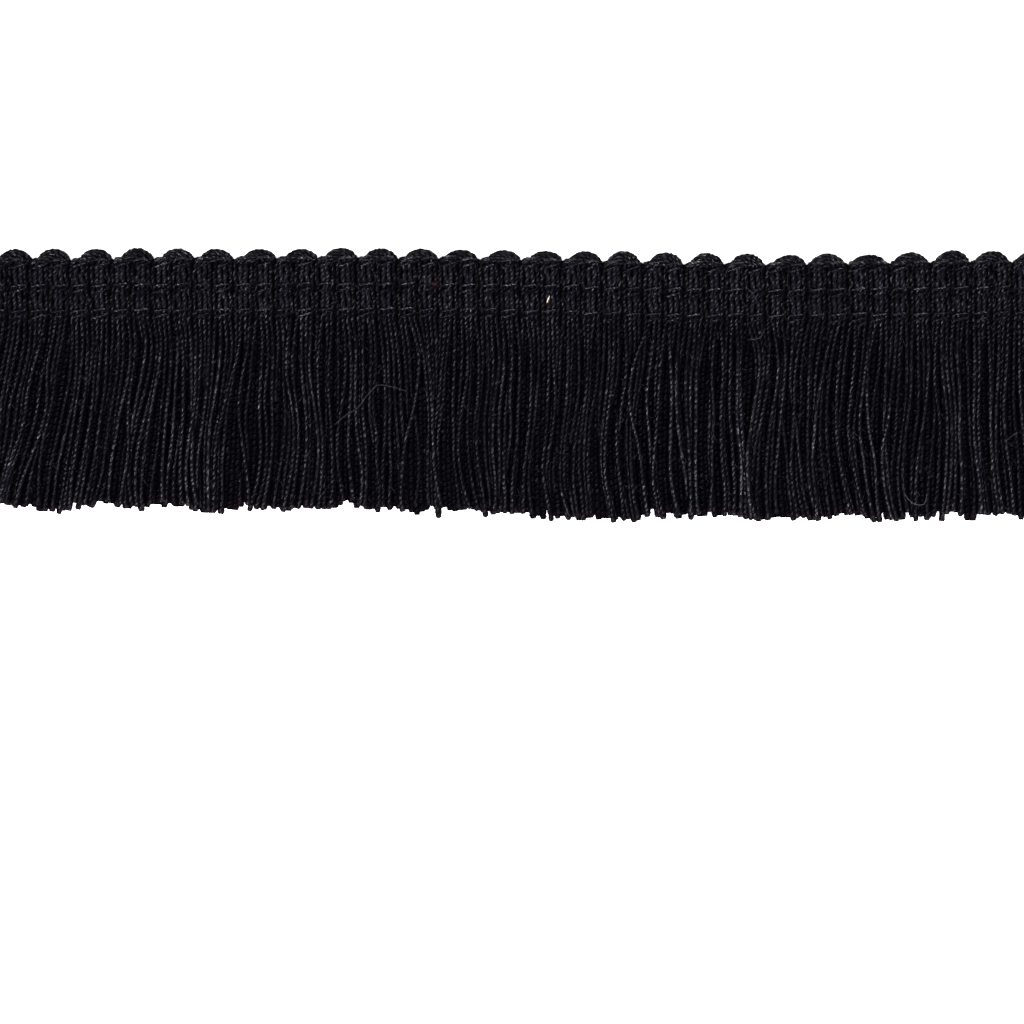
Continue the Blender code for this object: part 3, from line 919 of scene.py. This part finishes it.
# Hairs caught in the trim, as points on their way, and how thick each is.
STRAY_HAIRS = (
    (
        (-14.7, -12.3),
        (-13.7, -11.5),
        (-12.6, -10.8),
        (-11.7, -9.6),
        (-10.8, -8.8),
        (-9.7, -8.9),
        (-8.3, -9.3),
    ),
    ((36.5, -18.5), (36.9, -19.1), (37.5, -19.5), (38.2, -19.5), (38.4, -19.1), (38.5, -18.5)),
    ((22.6, -4.7), (23.3, -4.6), (23.7, -4.3), (23.5, -3.9)),
    ((45.6, -13.8), (46.1, -13.4), (46.7, -13.0)),
    ((22.3, -1.1), (22.7, -0.7), (23.3, -0.2)),
    ((22.4, -0.1), (22.8, -0.5), (23.2, -1.1)),
)
STRAY_RADII = (0.018, 0.026, 0.022, 0.018, 0.016, 0.016)
STRAY_HEIGHT = 1.72
RED_HAIRS = (
    ((-5.95, 0.55), (-5.75, 0.30), (-5.45, 0.20)),
    ((-6.00, 0.25), (-5.70, 0.38), (-5.50, 0.55)),
    ((-5.98, 0.35), (-6.02, 0.70), (-5.95, 0.95)),
    ((-5.45, 0.35), (-5.38, 0.70), (-5.45, 0.98)),
)
RED_RADII = (0.045, 0.045, 0.016, 0.016)
RED_HEIGHT = 1.42
HAIR_POINTS = 40
HAIR_WAVE, HAIR_TUCK = 0.05, 0.1
STRAW_ENDS = ((4.62, -0.70, 1.42), (4.50, -1.02, 1.50), (4.35, -1.40, 1.44))
STRAW_RADIUS, STRAW_POINTS = 0.068, 9


def fuzz(name, paths, count, material):
    """Loose ends of fibre that stand out of the front yarns."""
    spots = rng.integers(0, len(paths), count), rng.integers(3, paths.shape[1] - 3, count)
    start = paths[spots]
    along = paths[spots[0], spots[1] + 1] - start
    along /= np.linalg.norm(along, axis=1, keepdims=True)
    along *= rng.choice((-1.0, 1.0), (count, 1))
    out = rng.normal(0, 1, (count, 3)) + (0, 0, FIBRE_LIFT)
    out -= (out * along).sum(1, keepdims=True) * along
    out /= np.linalg.norm(out, axis=1, keepdims=True)
    size = rng.uniform(0.3, 1.0, (count, 1)) ** 1.5 * FIBRE_LENGTH
    curl = rng.normal(0, FIBRE_CURL, (count, 3)) * size
    share = np.linspace(0, 1, FIBRE_POINTS)[None, :, None]
    line = start[:, None] + (FIBRE_FROM + FIBRE_OUT * size[:, None] * share) * out[:, None]
    line = line + FIBRE_ALONG * size[:, None] * share * along[:, None]
    line = line + curl[:, None] * share * share
    line[..., 2] = np.clip(line[..., 2], FIBRE_FLOOR, None)
    radii = FIBRE_RADIUS * (1.2 - share[..., 0]) * np.ones((count, 1))
    return tubes(name, line, radii, 0 * radii, HAIR_SECTION, material)


def stray_hairs(name, hairs, radii, height, material):
    """Hairs that lie on top of the yarns, with their ends tucked in."""
    lines = np.stack([resampled([(x, y, height) for x, y in hair], HAIR_POINTS)[0] for hair in hairs])
    lines[..., 2] += HAIR_WAVE * np.sin(np.linspace(0, 9, HAIR_POINTS))
    lines[:, (0, -1), 2] -= HAIR_TUCK
    radii = np.array(radii)[:, None] * np.ones((1, HAIR_POINTS))
    return tubes(name, lines, radii, 0 * radii, HAIR_SECTION, material)


def straw_chip(material):
    """A chip of straw from the bale, caught between two chain rows."""
    line = resampled(STRAW_ENDS, STRAW_POINTS)[0][None]
    radii = STRAW_RADIUS * np.sin(np.linspace(0.35, 2.9, STRAW_POINTS))[None]
    return tubes("straw_chip", line, radii, 0 * radii, STRAW_SECTION, material)


# ---------------------------------------------------------------- scene


# Columns: name, place in metres, power in watts.
LAMPS = (
    ("lamp_below", (0.0, -0.27, 0.47), 4.5),
    ("lamp_left", (-0.22, -0.11, 0.48), 3.5),
    ("lamp_right", (0.24, -0.11, 0.48), 3.7),
)
LAMP_WIDTH = 0.09
LAMP_COLOUR = (0.93, 0.895, 1.0)
LAMP_TARGET = (VIEW_X * MM, -9.0 * MM, 0.0)
FLOOR_HALF = 1.5
FLOOR_Z = -0.02 * MM
PAPER = (0.86, 0.86, 0.86, 1.0)
PAPER_GLOW = 1.1  # the photograph's background is pure white
WHITE = (1.0, 1.0, 1.0, 1.0)
WORLD_STRENGTH = 0.003


def make_camera():
    camera = bpy.data.objects.new("camera", bpy.data.cameras.new("camera"))
    camera.data.lens = LENS_MM
    camera.data.sensor_width = SENSOR_MM
    distance = PIXELS / PIXELS_PER_MM * LENS_MM / SENSOR_MM
    camera.location = (VIEW_X * MM, VIEW_Y * MM, (VIEW_Z + distance) * MM)
    camera.data.clip_start = 0.01
    bpy.context.scene.collection.objects.link(camera)
    bpy.context.scene.camera = camera


def make_lamp(name, location, power):
    light = bpy.data.lights.new(name, "AREA")
    light.shape = "RECTANGLE"
    light.size = LAMP_WIDTH
    light.size_y = LAMP_WIDTH
    light.energy = power
    light.color = LAMP_COLOUR
    lamp = bpy.data.objects.new(name, light)
    lamp.location = location
    aim = Vector(LAMP_TARGET) - Vector(location)
    lamp.rotation_euler = aim.to_track_quat("-Z", "Y").to_euler()
    bpy.context.scene.collection.objects.link(lamp)


def make_floor():
    mesh = bpy.data.meshes.new("floor")
    corners = [(x * FLOOR_HALF, y * FLOOR_HALF, 0) for x, y in ((-1, -1), (1, -1), (1, 1), (-1, 1))]
    mesh.from_pydata(corners, [], [(0, 1, 2, 3)])
    floor = bpy.data.objects.new("floor", mesh)
    floor.location.z = FLOOR_Z
    material = bpy.data.materials.new("paper_white")
    material.use_nodes = True
    shader = material.node_tree.nodes["Principled BSDF"]
    shader.inputs["Base Color"].default_value = PAPER
    shader.inputs["Roughness"].default_value = 0.9
    shader.inputs["Emission Color"].default_value = WHITE
    shader.inputs["Emission Strength"].default_value = PAPER_GLOW
    mesh.materials.append(material)
    bpy.context.scene.collection.objects.link(floor)


def make_world():
    world = bpy.data.worlds.new("studio")
    world.use_nodes = True
    background = world.node_tree.nodes["Background"]
    background.inputs["Color"].default_value = WHITE
    background.inputs["Strength"].default_value = WORLD_STRENGTH
    bpy.context.scene.world = world


make_camera()
make_floor()
make_world()
for lamp in LAMPS:
    make_lamp(*lamp)
bpy.context.scene.view_settings.view_transform = "Standard"

YARN_MM, THREAD_MM = 49.0, 320.0  # the lengths that the noises are laid out for
YARN = yarn_material("plied_cotton", (0.0012, 0.0011, 0.0019), 2 * SCALLOPS, YARN_MM, (0.036, 0.158), 0.31)
# The back yarns' cotton: the same as the front yarns', with a darker base colour as painted shade.
SHADED_YARN = yarn_material(
    "shaded_cotton", (0.0005, 0.0004, 0.0012), SCALLOPS, YARN_MM, (0.018, 0.07), 0.35, painted_plies=True
)
THREAD = yarn_material("chain_cotton", (0.0016, 0.0014, 0.0030), 2, THREAD_MM, (0.05, 0.47), 0.32)
FIBRE = yarn_material("cotton_fibre", (0.045, 0.042, 0.050), 1, 1.0, (0.3, 0.3), 0.40)
STRAW = yarn_material("straw_chip", (0.60, 0.48, 0.28), 1, 3.0, (0.2, 0.2), 0.40)
RED_FIBRE = yarn_material("red_cotton", (0.026, 0.007, 0.008), 1, 1.0, (0.1, 0.1), 0.40)

for strand in range(len(STRANDS)):
    piece, paths = yarn_piece(strand, YARN if strand < FRONT_STRANDS else SHADED_YARN)
    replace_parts(piece, "heading", "fringe")
    if strand < FRONT_STRANDS:
        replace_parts(fuzz(f"loose_fibres_{strand + 1}", paths, LOOSE_FIBRES, FIBRE), "heading", "fringe")

# Columns: the row's name, its Y, how far its legs lie above and below that, how much its loops droop.
for name, row_y, above, below, droop in (
    ("top", ROW_YS[0], 0.38, 0.30, 1.0),
    ("middle", ROW_YS[1], 0.29, 0.32, 0.0),
    ("bottom", ROW_YS[2], 0.29, 0.32, 0.0),
):
    piece = chain_row(f"chain_stitches_{name}", row_y, above, below, droop, THREAD)
    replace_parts(piece, f"chain_row_{name}")

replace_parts(stray_hairs("stray_hairs", STRAY_HAIRS, STRAY_RADII, STRAY_HEIGHT, FIBRE), "heading", "fringe")
piece = stray_hairs("red_hairs", RED_HAIRS, RED_RADII, RED_HEIGHT, RED_FIBRE)
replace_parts(piece, "chain_row_middle", "heading")
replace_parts(straw_chip(STRAW), "heading")
